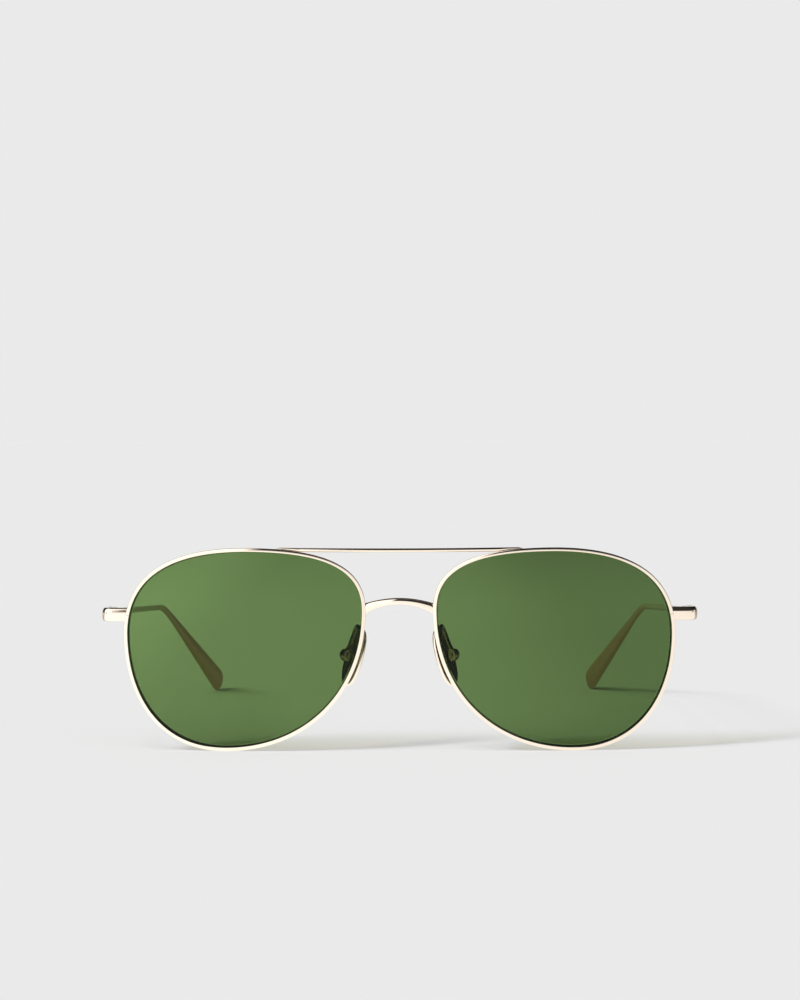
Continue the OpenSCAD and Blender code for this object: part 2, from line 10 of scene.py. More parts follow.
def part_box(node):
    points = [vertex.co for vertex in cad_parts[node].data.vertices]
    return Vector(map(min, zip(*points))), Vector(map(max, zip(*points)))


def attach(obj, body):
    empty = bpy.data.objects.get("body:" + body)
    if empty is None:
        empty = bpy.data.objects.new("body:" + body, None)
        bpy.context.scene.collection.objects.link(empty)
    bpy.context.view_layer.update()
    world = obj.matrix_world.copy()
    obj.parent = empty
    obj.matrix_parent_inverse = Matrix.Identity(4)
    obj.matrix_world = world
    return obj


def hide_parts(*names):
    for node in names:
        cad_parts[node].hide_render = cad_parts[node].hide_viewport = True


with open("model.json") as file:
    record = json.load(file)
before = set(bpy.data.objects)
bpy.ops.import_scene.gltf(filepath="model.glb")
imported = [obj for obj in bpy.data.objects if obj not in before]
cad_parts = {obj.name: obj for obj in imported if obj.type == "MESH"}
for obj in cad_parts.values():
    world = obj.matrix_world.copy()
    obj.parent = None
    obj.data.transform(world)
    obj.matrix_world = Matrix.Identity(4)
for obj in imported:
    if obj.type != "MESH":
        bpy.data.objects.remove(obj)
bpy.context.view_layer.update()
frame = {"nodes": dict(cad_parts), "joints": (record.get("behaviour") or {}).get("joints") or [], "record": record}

# Lengths are in millimetres until a mesh is made
MM = 0.001
SIDES = {"left": 1, "right": -1}

# Lens outline and the sphere that it is cut from
LENS_W = 57.0
LENS_H = 48.0
LENS_T = 1.8
LENS_R = 132.0
BRIDGE_GAP = 17.5
TOP_SHIFT = -0.6
TEMPLE_RISE = 3.6
BOTTOM_SHIFT = 5.1
NOSE_RISE = 9.5
WRAP = math.radians(3)
LEAN = math.radians(4)
# How far each quarter of the outline keeps the directions of its two ends
TOP_TEMPLE_FULL = (0.63, 0.675)
BOTTOM_TEMPLE_FULL = (0.535, 0.68)
BOTTOM_NOSE_FULL = (0.575, 0.595)
TOP_NOSE_FULL = (0.74, 0.625)
# Step that eases the edges of the lens
LENS_EASE = 0.1
# Shares of the way from the middle of the lens to its edge
LENS_STEPS = (0.08, 0.2, 0.35, 0.5, 0.65, 0.78, 0.88, 0.95, 0.985, 0.997)

# Rim wire, and the radii that ease its corners
RIM_W = 0.9
RIM_D = 2.0
GROOVE_D = 0.4
GROOVE_W = 1.2
LENS_GAP = 0.06
SPLIT_GAP = 0.06
RIM_IN = LENS_GAP - GROOVE_D
RIM_OUT = RIM_IN + RIM_W
GROOVE_LIP_R = 0.1
GROOVE_ROOT_R = 0.12
RIM_BACK_IN_R = 0.18
RIM_BACK_OUT_R = 0.3
RIM_FRONT_OUT_R = 0.22
RIM_FRONT_IN_R = 0.16
# The outer face of the wire stays this far inside the frame's own solid
INSIDE = 0.012

# Places along the outline: 0 top, 1 temple side, 2 bottom, 3 nose side
LOCK_AT = 0.884
ARM_FOOT_AT = 2.856
BRIDGE_AT = 3.013
BAR_END_AT = 3.859
BAR_FREE_AT = 3.589

# Bridge and top bar, with the solder at the bridge's ends and the thin ends of the bar
BRIDGE_H = 1.65
BRIDGE_ROOT_H = 2.4
BRIDGE_D = 1.6
BRIDGE_RISE = 1.8
BRIDGE_BOW = 1.0
BRIDGE_SINK = 0.15
SOLDER_REACH = 0.9
SOLDER_SWELL = 0.22
BAR_H = 0.95
BAR_D = 1.2
BAR_DIP = 0.2
BAR_BOW = 0.9
BAR_END_H = 0.4
BAR_POWER = 2.2
BAR_TAPER = 1.0
BAR_THIN_H = 0.06
BAR_THIN_SHARE = 0.35

# End piece and hinge
END_H = 3.25
JOINT_H = 2.4
END_T = 1.4
END_BEND_R = 1.9
END_POWER = 2.4
END_SINK = 0.12
END_STRAIGHT = 0.5
END_EASE = 0.18
KNUCKLE_R = 1.1
PASS_GAP = 0.1

# Temple
ARM_LEN = 97.0
ARM_H = 1.45
ARM_T = 1.3
ARM_TAPER = 24.0
ARM_FALL = math.radians(3.7)
ARM_INSET = math.radians(2.9)
TIP_LEN = 47.0
BEND_H = 2.1
TIP_H = 6.2
TIP_T = 2.3
TIP_POWER = 3.4
TEMPLE_POWER = 2.6
BEND_REACH = 8.0
# The end of the paddle stays this far short of the solid's
TIP_INSIDE = 0.12
# Angle at which the round end of the paddle is cut off flat, in degrees
TIP_LAST = 88
# Share of the taper at which its first ring stands
TEMPLE_START = 0.02

# Nose pads and their arms
PAD_LEN = 14.5
PAD_W = 7.2
PAD_T = 1.0
PAD_AXIS = 1.75
PAD_POWER = 2.3
# The rolled edge: its width as a share of half the thickness, and the angles that it turns through
PAD_ROLL = 0.9
PAD_TURN = (100, -90)
# Insets of the pad's outline: on its back with the depth of the dish there, and on its flat face
PAD_DISH = ((2.6, 0.2), (2.0, 0.17), (1.4, 0.1), (0.9, 0.02))
PAD_FACE = (0.9, 1.6, 2.4)
PAD_SCREW_R = 0.4
TURN_GAP = 0.05
LUG_T = 0.7
LUG_WALL = 0.35
LUG_R = PAD_SCREW_R + LUG_WALL
LUG_SUNK = 0.3
LUG_EASE = 0.06
BOX_R = 1.5
WIRE_D = 1.1
WIRE_RISE = 6.4
WIRE_BACK = 3.0
WIRE_TUCK = 0.15
WIRE_SINK = 0.1
WIRE_FOOT_SWELL = 0.35
WIRE_BOX_SWELL = 0.25
WIRE_SWELL_SHARE = 0.06

# How many rings a piece has along a stretch, and points round a ring
RIM_RINGS = 420
LENS_POINTS = 256
BRIDGE_RINGS = 91
BRIDGE_POINTS = 36
BAR_RINGS = 24
BAR_POINTS = 28
EASE_RINGS = 6
END_RINGS = 12
END_POINTS = 40
BEND_RINGS = 25
TAPER_RINGS = 30
ARM_RINGS = 12
PADDLE_RINGS = 40
TIP_RINGS = 20
POWER_RINGS = 20
TEMPLE_POINTS = 36
PAD_EDGE_RINGS = 15
PAD_POINTS = 72
LUG_POINTS = 48
WIRE_RINGS = 64
WIRE_POINTS = 24
OUTLINE_POINTS = 400
CORNER_POINTS = 6
BEVEL_STEPS = 3

# Angles above which an edge is kept sharp, in degrees
SHARP = 40
LENS_SHARP = 30
SMALL_SHARP = 30
# Points of the frame's solids that lie closer than this become one, and faces that turn less become flat
WELD = 0.002
FLAT_ANGLE = math.radians(1)


# Curves and directions


def unit(v):
    v = np.asarray(v, float)
    return v / np.linalg.norm(v, axis=-1, keepdims=True)


def smooth(t):
    u = np.clip(t, 0, 1)
    return u * u * (3 - 2 * u)


def blend(a, b, t):
    return a + (b - a) * t


def quarter(a, b, full, level):
    """A quarter of the outline between two of its extreme points, as the four points of a cubic."""
    a, b = np.array(a, float), np.array(b, float)
    dx, dy = b - a
    if level:
        return [a, a + [full[0] * dx, 0], b - [0, full[1] * dy], b]
    return [a, a + [0, full[0] * dy], b - [full[1] * dx, 0], b]


TOP = (TOP_SHIFT, LENS_H / 2)
TEMPLE = (LENS_W / 2, TEMPLE_RISE)
BOTTOM = (BOTTOM_SHIFT, -LENS_H / 2)
NOSE = (-LENS_W / 2, NOSE_RISE)
QUARTERS = np.array([
    quarter(TOP, TEMPLE, TOP_TEMPLE_FULL, True),
    quarter(TEMPLE, BOTTOM, BOTTOM_TEMPLE_FULL, False),
    quarter(BOTTOM, NOSE, BOTTOM_NOSE_FULL, True),
    quarter(NOSE, TOP, TOP_NOSE_FULL, False),
])


def cubic(p, t):
    t = np.asarray(t, float)[..., None]
    u = 1 - t
    weights = (u**3, 3 * u * u * t, 3 * u * t * t, t**3)
    return sum(w * p[..., i, :] for i, w in enumerate(weights))


def cubic_slope(p, t):
    t = np.asarray(t, float)[..., None]
    u = 1 - t
    d = np.diff(p, axis=-2)
    return 3 * u * u * d[..., 0, :] + 6 * u * t * d[..., 1, :] + 3 * t * t * d[..., 2, :]


def edge(t):
    """Points on the lens outline at the places t, and the outward directions there."""
    t = np.asarray(t, float) % 4
    q = np.floor(t).astype(int) % 4
    part = QUARTERS[q]
    slope = cubic_slope(part, t - q)
    out = unit(np.stack([-slope[..., 1], slope[..., 0]], -1))
    return cubic(part, t - q), out


def on_lens(p, depth):
    """Points over p in the lens plane, on the sphere that lies depth behind the middle of the lens."""
    p = np.asarray(p, float)
    fall = np.sqrt(LENS_R**2 - (p**2).sum(-1))
    ray = np.stack([p[..., 0], -fall, p[..., 1]], -1)
    scale = 1 - np.asarray(depth, float)[..., None] / LENS_R
    return np.array([0, LENS_R, 0]) + scale * ray


LENS_X = BRIDGE_GAP / 2 + LENS_W / 2 * math.cos(WRAP) + on_lens(NOSE, 0.0)[1] * math.sin(WRAP)


def stood(v):
    """Turns points of the flat lens back towards the temple and leans them forward."""
    x = LENS_X + v[..., 0] * math.cos(WRAP) - v[..., 1] * math.sin(WRAP)
    y = v[..., 0] * math.sin(WRAP) + v[..., 1] * math.cos(WRAP)
    z = v[..., 2]
    leant_y = y * math.cos(LEAN) - z * math.sin(LEAN)
    leant_z = y * math.sin(LEAN) + z * math.cos(LEAN)
    return np.stack([x, leant_y, leant_z], -1)


# The front is set where the frame's own lens stands
lens_low = np.array(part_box("left_lens")[0]) / MM
OUTLINE = edge(np.linspace(0, 4, OUTLINE_POINTS, endpoint=False))[0]
LOWEST = stood(on_lens(OUTLINE, 0.0))[:, 2].min()
FOREMOST = LENS_R * (math.cos(WRAP) * math.cos(LEAN) - 1) - LENS_T / 2
SHIFT = np.array([0, lens_low[1] - FOREMOST, lens_low[2] - LOWEST])


def front_pt(p, depth):
    return stood(on_lens(p, depth)) + SHIFT


def rim_pt(t, out, depth):
    point, normal = edge(t)
    return front_pt(point + np.asarray(out, float)[..., None] * normal, depth)


def rim_normal(t):
    return unit(rim_pt(t, RIM_OUT + 1, 0.0) - rim_pt(t, RIM_OUT, 0.0))


# Joints and mounts of the frame, on the left side
joints = {j["name"]: j for j in frame["joints"]}
mounts = {m["name"]: m for m in frame["record"]["mounts"]}
hinge = np.array(joints["left_temple_fold"]["pos_m"]) / MM
pad_origin = np.array(joints["left_pad_rock"]["pos_m"]) / MM
pad_x = unit(joints["left_pad_rock"]["axis"])
pad_z = -unit(mounts["left_pad_face"]["axis"])
pad_y = np.cross(pad_z, pad_x)
tip_end = np.array(mounts["left_tip"]["pos_m"]) / MM
tip_dir = unit(mounts["left_tip"]["axis"])

lock_pt = rim_pt(LOCK_AT, RIM_OUT, 0.0)
end_x = hinge[0] + KNUCKLE_R + PASS_GAP + END_T / 2
end_y = lock_pt[1] - (RIM_D - END_T) / 2


def on_pad(v):
    """Points given in the pad's own frame: x along its screw, y up the pad, z away from the nose."""
    v = np.asarray(v, float)
    return pad_origin + v[..., :1] * pad_x + v[..., 1:2] * pad_y + v[..., 2:] * pad_z


# Meshes


def shape(name, points, faces, side, sharp=SHARP):
    """A smooth closed mesh of points in millimetres, mirrored for the right side, with its faces turned
    outwards."""
    points = np.asarray(points, float) * [SIDES.get(side, 1), 1, 1] * MM
    volume = 0.0
    for f in faces:
        for i in range(1, len(f) - 1):
            volume += np.dot(points[f[0]], np.cross(points[f[i]], points[f[i + 1]]))
    if volume < 0:
        faces = [f[::-1] for f in faces]
    mesh = bpy.data.meshes.new(name)
    mesh.from_pydata(points.tolist(), [], faces)
    mesh.validate()
    mesh.shade_smooth()
    mesh.set_sharp_from_angle(angle=math.radians(sharp))
    piece = bpy.data.objects.new(name, mesh)
    bpy.context.scene.collection.objects.link(piece)
    return piece


def joined_rings(count, rings):
    """Quads between rings of count points each."""
    faces = []
    for here in range(0, (rings - 1) * count, count):
        there = here + count
        for j in range(count):
            k = (j + 1) % count
            faces.append([here + j, here + k, there + k, there + j])
    return faces


def loft(name, rings, side):
    """A closed solid through rings of points, with flat ends."""
    rings = np.asarray(rings)
    n, count = rings.shape[:2]
    last = (n - 1) * count
    faces = joined_rings(count, n)
    faces.append(list(range(count - 1, -1, -1)))
    faces.append(list(range(last, last + count)))
    return shape(name, rings.reshape(-1, 3), faces, side)


def domed(name, rings, poles, side, sharp=SHARP):
    """A closed solid through rings of points, each end drawn together to a point."""
    rings = np.asarray(rings)
    n, count = rings.shape[:2]
    last = (n - 1) * count
    first_pole, last_pole = n * count, n * count + 1
    faces = joined_rings(count, n)
    for j in range(count):
        k = (j + 1) % count
        faces.append([first_pole, k, j])
        faces.append([last_pole, last + j, last + k])
    points = np.concatenate([rings.reshape(-1, 3), poles])
    return shape(name, points, faces, side, sharp)


def section(w, h, power, count):
    """A rounded section: power 2 is an ellipse, higher powers are squarer."""
    a = np.linspace(0, 2 * math.pi, count, endpoint=False)
    c, s = np.cos(a), np.sin(a)
    x = np.sign(c) * np.abs(c) ** (2 / power) * w / 2
    y = np.sign(s) * np.abs(s) ** (2 / power) * h / 2
    return np.stack([x, y], -1)


def ring_at(point, direction, flat):
    """A flat section set up across a path, its first axis pointing to the side."""
    side = unit(np.cross(direction, [0, 0, 1]))
    up = np.cross(side, direction)
    return point + flat[:, :1] * side + flat[:, 1:] * up


def slid(points, along, on, normal):
    """Moves points along a direction on to the plane through a point with a normal."""
    reach = ((on - points) @ normal) / (along @ normal)
    return points + reach[:, None] * along


def rounded(corners):
    """A closed outline with each corner (x, y, radius) rounded by an arc-like curve."""
    points = []
    n = len(corners)
    for i, (x, y, r) in enumerate(corners):
        here = np.array([x, y])
        before = np.array(corners[i - 1][:2])
        after = np.array(corners[(i + 1) % n][:2])
        a = here + unit(before - here) * r
        b = here + unit(after - here) * r
        for t in np.linspace(0, 1, CORNER_POINTS):
            points.append((1 - t) ** 2 * a + 2 * t * (1 - t) * here + t * t * b)
    return np.array(points)


def softened(name, solid, width):
    """A copy of one of the frame's small solids with its edges broken."""
    made = bmesh.new()
    made.from_mesh(frame["nodes"][solid].data)
    bmesh.ops.remove_doubles(made, verts=made.verts, dist=WELD * MM)
    bmesh.ops.dissolve_limit(made, angle_limit=FLAT_ANGLE, verts=made.verts, edges=made.edges)
    edges = [
        e for e in made.edges
        if len(e.link_faces) == 2 and e.calc_face_angle() > math.radians(SMALL_SHARP)
    ]
    bmesh.ops.bevel(
        made, geom=edges, offset=width * MM, segments=BEVEL_STEPS, profile=0.5, affect="EDGES",
        clamp_overlap=True
    )
    bmesh.ops.recalc_face_normals(made, faces=made.faces)
    mesh = bpy.data.meshes.new(name)
    made.to_mesh(mesh)
    made.free()
    mesh.shade_smooth()
    mesh.set_sharp_from_angle(angle=math.radians(SMALL_SHARP))
    piece = bpy.data.objects.new(name, mesh)
    bpy.context.scene.collection.objects.link(piece)
    return piece


# Materials: colours are linear, and the scale of a pattern is in features a metre

PALE_GOLD = (0.94, 0.83, 0.70)
DEEP_GOLD = (0.92, 0.79, 0.65)
# Painted shade: the back of the temples is given a warmer, darker tone that stands in for the shade they lie in
# behind the lens
SHADED_TAIL_GOLD = (0.86, 0.5, 0.33)
SHADED_TAIL_DEEPER = 0.93
# How far back the plating of the temples changes to the painted shade of the shaded tail, in metres
SHADED_TAIL_FROM_TO = (0.0, 0.05)
# Painted shade: the pad arms, pad boxes and pad screws are painted a dark gold that stands in for the shade they
# sit in behind the lens
SHADED_PALE_MOUNT = (0.42, 0.33, 0.24)
SHADED_DEEP_MOUNT = (0.36, 0.27, 0.19)
PALE_SCREW = (0.88, 0.76, 0.57)
DEEP_SCREW = (0.82, 0.69, 0.49)
DRIFT_SCALE = 160
MARKS_SCALE = 5200
PEEL_SCALE = 2600
PEEL_DEPTH = 0.00002
# The polishing marks vary the roughness between these shares of it
POLISH = (0.7, 1.5)
ALONG_ARM = (1, 0.12, 1)
LENS_TINT = (0.146, 0.246, 0.080)
LENS_DEEPER = 0.97
LENS_SHADE = (0.34, 0.33, 0.1)
LENS_IOR = 1.2
LENS_ROUGH = 0.012
CLOUD_SCALE = 45
CLOUD_STRETCH = (0.3, 1, 2.5)
DUST_SCALE = 900


def new_material(name):
    material = bpy.data.materials.new(name)
    material.use_nodes = True
    tree = material.node_tree
    tree.nodes.clear()
    output = tree.nodes.new("ShaderNodeOutputMaterial")
    return material, tree, output


def node(tree, kind, **inputs):
    made = tree.nodes.new(kind)
    for name, value in inputs.items():
        made.inputs[name.replace("_", " ")].default_value = value
    return made


def noise(tree, coordinates, scale, detail=3.0, stretch=(1, 1, 1)):
    """Noise over the object, scale in features a metre."""
    mapping = node(tree, "ShaderNodeMapping")
    mapping.inputs["Scale"].default_value = stretch
    made = node(tree, "ShaderNodeTexNoise", Scale=scale, Detail=detail)
    tree.links.new(coordinates, mapping.inputs["Vector"])
    tree.links.new(mapping.outputs["Vector"], made.inputs["Vector"])
    return made.outputs["Fac"]


def ranged(tree, value, low, high, a=0.3, b=0.7):
    """Maps a value from a..b to low..high."""
    made = node(tree, "ShaderNodeMapRange")
    made.inputs["From Min"].default_value = a
    made.inputs["From Max"].default_value = b
    made.inputs["To Min"].default_value = low
    made.inputs["To Max"].default_value = high
    tree.links.new(value, made.inputs["Value"])
    return made.outputs["Result"]


def mixed(tree, factor, a, b):
    made = tree.nodes.new("ShaderNodeMix")
    made.data_type = "RGBA"
    made.inputs["A"].default_value = (*a, 1)
    made.inputs["B"].default_value = (*b, 1)
    tree.links.new(factor, made.inputs["Factor"])
    return made.outputs["Result"]


def layered(tree, kind, a, b, factor=1.0):
    """Two colours laid over each other in one of Mix's ways, the second one by the factor."""
    made = tree.nodes.new("ShaderNodeMix")
    made.data_type = "RGBA"
    made.blend_type = kind
    if isinstance(factor, (int, float)):
        made.inputs["Factor"].default_value = factor
    else:
        tree.links.new(factor, made.inputs["Factor"])
    tree.links.new(a, made.inputs["A"])
    tree.links.new(b, made.inputs["B"])
    return made.outputs["Result"]


def plated(name, pale, deep, rough, stretch=(1, 1, 1), bump=0.06, shaded_tail=None):
    """Polished plating: slow drifts of tone, fine polishing marks in the gloss, and a faint orange peel.
    A shaded tail is painted shade: a warmer, darker tone laid over the plating towards the back of the object."""
    material, tree, output = new_material(name)
    shader = node(tree, "ShaderNodeBsdfPrincipled", Metallic=1.0)
    where = tree.nodes.new("ShaderNodeTexCoord").outputs["Object"]
    drift = noise(tree, where, DRIFT_SCALE, 3)
    marks = noise(tree, where, MARKS_SCALE, 4, stretch)
    peel = noise(tree, where, PEEL_SCALE, 2)
    tone = mixed(tree, ranged(tree, drift, 0, 1), pale, deep)
    # Painted shade: the shaded tail is mixed in towards the back of the object
    if shaded_tail:
        deeper = tuple(SHADED_TAIL_DEEPER * c for c in shaded_tail)
        shaded_warm = mixed(tree, ranged(tree, drift, 0, 1), shaded_tail, deeper)
        split = tree.nodes.new("ShaderNodeSeparateXYZ")
        tree.links.new(where, split.inputs["Vector"])
        back = ranged(tree, split.outputs["Y"], 0, 1, *SHADED_TAIL_FROM_TO)
        tone = layered(tree, "MIX", tone, shaded_warm, back)
    tree.links.new(tone, shader.inputs["Base Color"])
    gloss = ranged(tree, marks, *(rough * share for share in POLISH))
    tree.links.new(gloss, shader.inputs["Roughness"])
    height = node(tree, "ShaderNodeBump", Strength=bump, Distance=PEEL_DEPTH)
    tree.links.new(peel, height.inputs["Height"])
    tree.links.new(height.outputs["Normal"], shader.inputs["Normal"])
    tree.links.new(shader.outputs["BSDF"], output.inputs["Surface"])
    return material


def tinted_glass(name, tint):
    """Tinted glass that lets the lamps through, with a very slight unevenness of tint and polish."""
    material, tree, output = new_material(name)
    shader = node(tree, "ShaderNodeBsdfPrincipled", IOR=LENS_IOR)
    shader.inputs["Transmission Weight"].default_value = 1.0
    where = tree.nodes.new("ShaderNodeTexCoord").outputs["Object"]
    cloud = noise(tree, where, CLOUD_SCALE, 3, CLOUD_STRETCH)
    dust = noise(tree, where, DUST_SCALE, 5)
    deeper = tuple(LENS_DEEPER * c for c in tint)
    tree.links.new(mixed(tree, ranged(tree, cloud, 0, 1), tint, deeper), shader.inputs["Base Color"])
    tree.links.new(ranged(tree, dust, 0.0, LENS_ROUGH), shader.inputs["Roughness"])
    # A lamp's ray meets both faces, so each takes the root of the shade that the lens throws
    clear = node(tree, "ShaderNodeBsdfTransparent", Color=(*(math.sqrt(c) for c in LENS_SHADE), 1))
    path = tree.nodes.new("ShaderNodeLightPath")
    mix = tree.nodes.new("ShaderNodeMixShader")
    tree.links.new(path.outputs["Is Shadow Ray"], mix.inputs[0])
    tree.links.new(shader.outputs["BSDF"], mix.inputs[1])
    tree.links.new(clear.outputs["BSDF"], mix.inputs[2])
    tree.links.new(mix.outputs["Shader"], output.inputs["Surface"])
    return material


frame_gold = plated("frame_gold", PALE_GOLD, DEEP_GOLD, rough=0.07)
# The temples carry the painted shade of the shaded tail towards their back
temple_gold = plated("temple_gold", PALE_GOLD, DEEP_GOLD, rough=0.3, stretch=ALONG_ARM, shaded_tail=SHADED_TAIL_GOLD)
pad_gold = plated("pad_gold", PALE_GOLD, DEEP_GOLD, rough=0.12, bump=0.08)
# Painted shade: dark gold for the pad arms, pad boxes and pad screws
shaded_mount_gold = plated("shaded_mount_gold", SHADED_PALE_MOUNT, SHADED_DEEP_MOUNT, rough=0.1)
screw_gold = plated("screw_gold", PALE_SCREW, DEEP_SCREW, rough=0.22, bump=0.12)
lens_green = tinted_glass("lens_green", LENS_TINT)


def dress(piece, material, slot, body, *nodes):
    """Gives a piece its material, the body it rides on and the nodes it stands for. The slot is not used."""
    piece.data.materials.clear()
    piece.data.materials.append(material)
    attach(piece, body)
    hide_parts(*nodes)
    return piece


# Pieces of the front


def rim(side):
    """A grooved wire that runs from one side of the split round to the other."""
    back = RIM_D / 2
    profile = rounded([
        (RIM_IN, -GROOVE_W / 2, GROOVE_LIP_R),
        (RIM_IN + GROOVE_D, 0, GROOVE_ROOT_R),
        (RIM_IN, GROOVE_W / 2, GROOVE_LIP_R),
        (RIM_IN, back, RIM_BACK_IN_R),
        (RIM_OUT - INSIDE, back, RIM_BACK_OUT_R),
        (RIM_OUT - INSIDE, -back, RIM_FRONT_OUT_R),
        (RIM_IN, -back, RIM_FRONT_IN_R),
    ])
    half_split = SPLIT_GAP / 2 / np.linalg.norm(cubic_slope(QUARTERS[0], LOCK_AT))
    places = np.linspace(LOCK_AT + half_split, LOCK_AT + 4 - half_split, RIM_RINGS)
    rings = rim_pt(places[:, None], profile[None, :, 0], profile[None, :, 1])
    piece = loft(f"{side}_rim_wire", rings, side)
    return dress(piece, frame_gold, "frame", "front", f"{side}_rim")


def lens(side):
    """Two concentric spherical faces and a bevelled edge that sits in the groove."""
    body = RIM_IN - LENS_GAP
    bevel = GROOVE_W / 2 - LENS_GAP
    face = LENS_T / 2
    places = np.linspace(LOCK_AT, LOCK_AT + 4, LENS_POINTS, endpoint=False)
    point, out = edge(places)
    inner = point + body * out
    front = [front_pt(s * inner, -face) for s in LENS_STEPS]
    rear = [front_pt(s * inner, face) for s in reversed(LENS_STEPS)]
    # Each edge of the bevel is eased by a small step
    ease = LENS_EASE
    rim_line = [
        (body, ease - face), (body, -bevel - ease / 2), (body + ease / 2, -bevel),
        (-ease / 3, -ease / 2), (0, 0), (-ease / 3, ease / 2),
        (body + ease / 2, bevel), (body, bevel + ease / 2), (body, face - ease),
    ]
    bevels = [front_pt(point + o * out, d) for o, d in rim_line]
    poles = [front_pt(np.zeros(2), -face), front_pt(np.zeros(2), face)]
    piece = domed(f"{side}_lens_glass", front + bevels + rear, poles, side, LENS_SHARP)
    return dress(piece, lens_green, "lens", "front", f"{side}_lens")


def bridge():
    """An arched bar whose ends flare into the solder at the rims."""
    root = rim_pt(BRIDGE_AT, RIM_OUT, 0.0)
    out = rim_normal(BRIDGE_AT)
    rings = []
    for i, s in enumerate(np.sin(np.linspace(-math.pi / 2, math.pi / 2, BRIDGE_RINGS))):
        arch = 1 - s * s
        point = np.array([s * root[0], root[1] - BRIDGE_BOW * arch, root[2] + BRIDGE_RISE * arch])
        direction = unit([root[0], 2 * BRIDGE_BOW * s, -2 * BRIDGE_RISE * s])
        h = blend(BRIDGE_H, BRIDGE_ROOT_H, s * s)
        to_rim = (1 - abs(s)) * root[0]
        swell = SOLDER_SWELL * (1 - smooth(to_rim / SOLDER_REACH)) ** 2
        flat = section(BRIDGE_D + swell, h + swell, BAR_POWER, BRIDGE_POINTS)
        ring = ring_at(point, direction, flat)
        if i in (0, BRIDGE_RINGS - 1):
            mirror = np.array([np.sign(s), 1, 1])
            ring = slid(ring, direction, (root - BRIDGE_SINK * out) * mirror, out * mirror)
        rings.append(ring)
    piece = loft("bridge_bar", rings, "middle")
    return dress(piece, frame_gold, "frame", "front", "nose_bridge")


def top_bar():
    """A round bar whose ends thin out along the tops of the rims."""
    end = rim_pt(BAR_END_AT, RIM_OUT, 0.0)
    places = np.linspace(BAR_END_AT, BAR_FREE_AT, BAR_RINGS)
    seats = rim_pt(places, RIM_OUT, -RIM_D / 4)
    free = seats[-1][0]
    half = [(p[0], p[2]) for p in seats]
    half += [(x, 0) for x in np.linspace(free, 0, BAR_RINGS)[1:-1]]
    stations = [(-x, low) for x, low in half] + [(0, 0)] + half[::-1]
    rings = []
    for x, seat in stations:
        s = x / end[0]
        top = end[2] + BAR_END_H - BAR_DIP * (1 - s * s)
        low = max(top - BAR_H, seat)
        reach = smooth((end[0] - abs(x)) / BAR_TAPER)
        top = blend(low + BAR_THIN_H, top, reach)
        point = np.array([x, end[1] - BAR_BOW * (1 - s * s), (top + low) / 2])
        flat = section(BAR_D * blend(BAR_THIN_SHARE, 1, reach), top - low, BAR_POWER, BAR_POINTS)
        rings.append(ring_at(point, np.array([1.0, 0, 0]), flat))
    piece = loft("brow_bar", rings, "middle")
    return dress(piece, frame_gold, "frame", "front", "top_bar")


def end_piece(side):
    """A rounded strip that leaves the rim sideways and turns back to the hinge."""
    flat = section(END_T, END_H, END_POWER, END_POINTS)
    out = rim_normal(LOCK_AT)
    along = np.array([1.0, 0, 0])
    start = ring_at(np.array([lock_pt[0], end_y, hinge[2]]), along, flat)
    rings = [slid(start, along, lock_pt + reach * out, out) for reach in (-END_SINK, END_STRAIGHT)]
    centre = np.array([end_x - END_BEND_R, end_y + END_BEND_R, hinge[2]])
    for a in np.linspace(0, math.pi / 2, BEND_RINGS):
        point = centre + END_BEND_R * np.array([math.sin(a), -math.cos(a), 0])
        rings.append(ring_at(point, np.array([math.cos(a), math.sin(a), 0]), flat))
    stop = hinge[1] - PASS_GAP / 2
    back = np.array([0, 1.0, 0])
    for u in np.linspace(0, 1, END_RINGS)[1:]:
        point = np.array([end_x, blend(centre[1], stop - END_EASE, u), hinge[2]])
        flat = section(END_T, blend(END_H, JOINT_H, u), END_POWER, END_POINTS)
        rings.append(ring_at(point, back, flat))
    for a in np.linspace(0, math.pi / 2, EASE_RINGS)[1:]:
        point = np.array([end_x, stop - END_EASE * (1 - math.sin(a)), hinge[2]])
        shrink = 2 * END_EASE * (1 - math.cos(a))
        flat = section(END_T - shrink, JOINT_H - shrink, END_POWER, END_POINTS)
        rings.append(ring_at(point, back, flat))
    piece = loft(f"{side}_end_strip", rings, side)
    return dress(piece, frame_gold, "frame", "front", f"{side}_end_piece")


# Temples

arm_dir = np.array([
    -math.sin(ARM_INSET) * math.cos(ARM_FALL),
    math.cos(ARM_INSET) * math.cos(ARM_FALL),
    -math.sin(ARM_FALL),
])
arm_start = np.array([end_x, hinge[1] + PASS_GAP / 2, hinge[2]])
bend_pt = arm_start + ARM_LEN * arm_dir


def bend_curve(t):
    before = bend_pt - BEND_REACH * arm_dir
    after = bend_pt + BEND_REACH * tip_dir
    return (1 - t) ** 2 * before + 2 * t * (1 - t) * bend_pt + t * t * after


